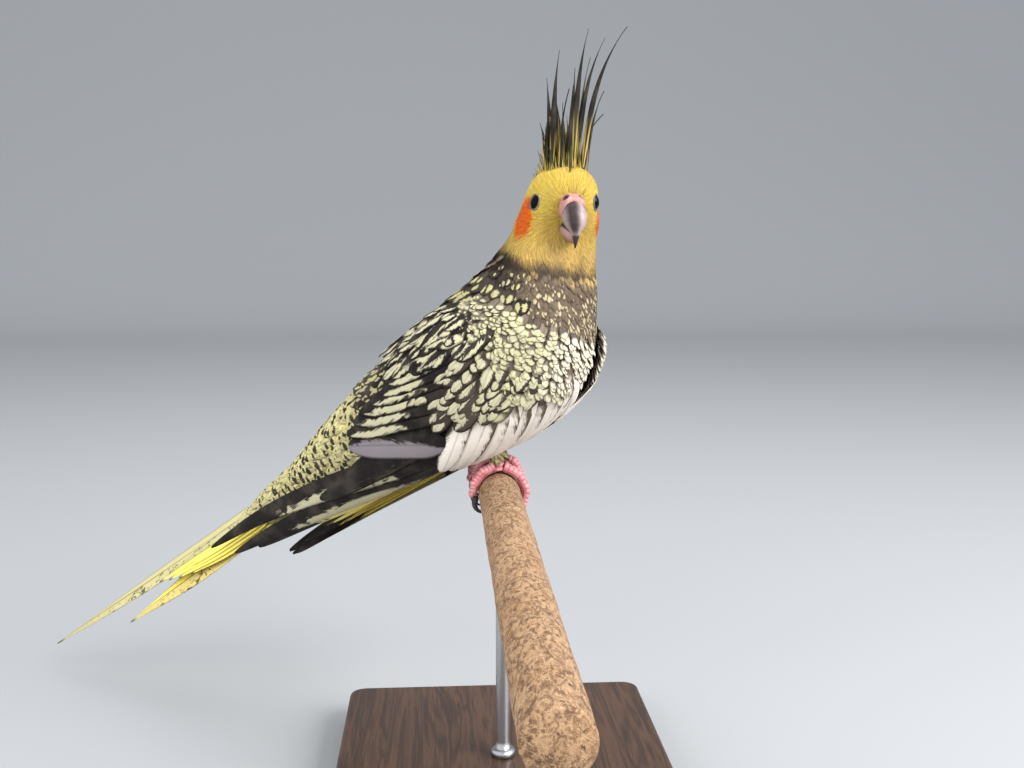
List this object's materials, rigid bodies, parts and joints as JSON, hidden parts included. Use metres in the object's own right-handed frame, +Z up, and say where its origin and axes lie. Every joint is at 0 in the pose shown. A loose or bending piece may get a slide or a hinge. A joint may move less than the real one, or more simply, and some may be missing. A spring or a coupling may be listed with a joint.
{
  "type": "still model of a bird",
  "caption": "Life-size still model of a crested pearl cockatiel gripping a short wooden perch, held by a plain stand.",
  "frame": {"origin": "middle of the underside of the stand's base", "axes": "+Z up, +Y along the perch away from the picture's camera, -X towards the tail"},
  "size_m": [0.2524, 0.3036, 0.2678],
  "materials": {
    "grey_feather": "soft small feathers, grey brown with pale spots",
    "pearl_feather": "spotted cream and dark grey feathers",
    "yellow_feather": "yellow feathers",
    "bill": "smooth horn, satin",
    "cere": "bare soft skin",
    "eye": "wet gloss",
    "foot": "scaled skin",
    "claw": "horn, satin",
    "perch": "rough fibrous wood",
    "base": "dark stained, satin",
    "metal": "satin"
  },
  "bodies": {
    "root": {"bill_lower": "bill", "bill_upper": "bill", "cere": "cere", "claw_left_back_inner": "claw", "claw_left_back_outer": "claw", "claw_left_front_inner": "claw", "claw_left_front_outer": "claw", "claw_right_back_inner": "claw", "claw_right_back_outer": "claw", "claw_right_front_inner": "claw", "claw_right_front_outer": "claw", "crest": "yellow_feather", "eye_left": "eye", "eye_right": "eye", "foot_left": "foot", "foot_right": "foot", "head": "yellow_feather", "leg_left": "grey_feather", "leg_right": "grey_feather", "neck": "grey_feather", "perch": "perch", "rump": "pearl_feather", "stand_base": "base", "stand_rod_back": "metal", "stand_rod_front": "metal", "tail": "yellow_feather", "torso": "grey_feather", "wing_left": "pearl_feather", "wing_right": "pearl_feather"}
  },
  "joints": []
}
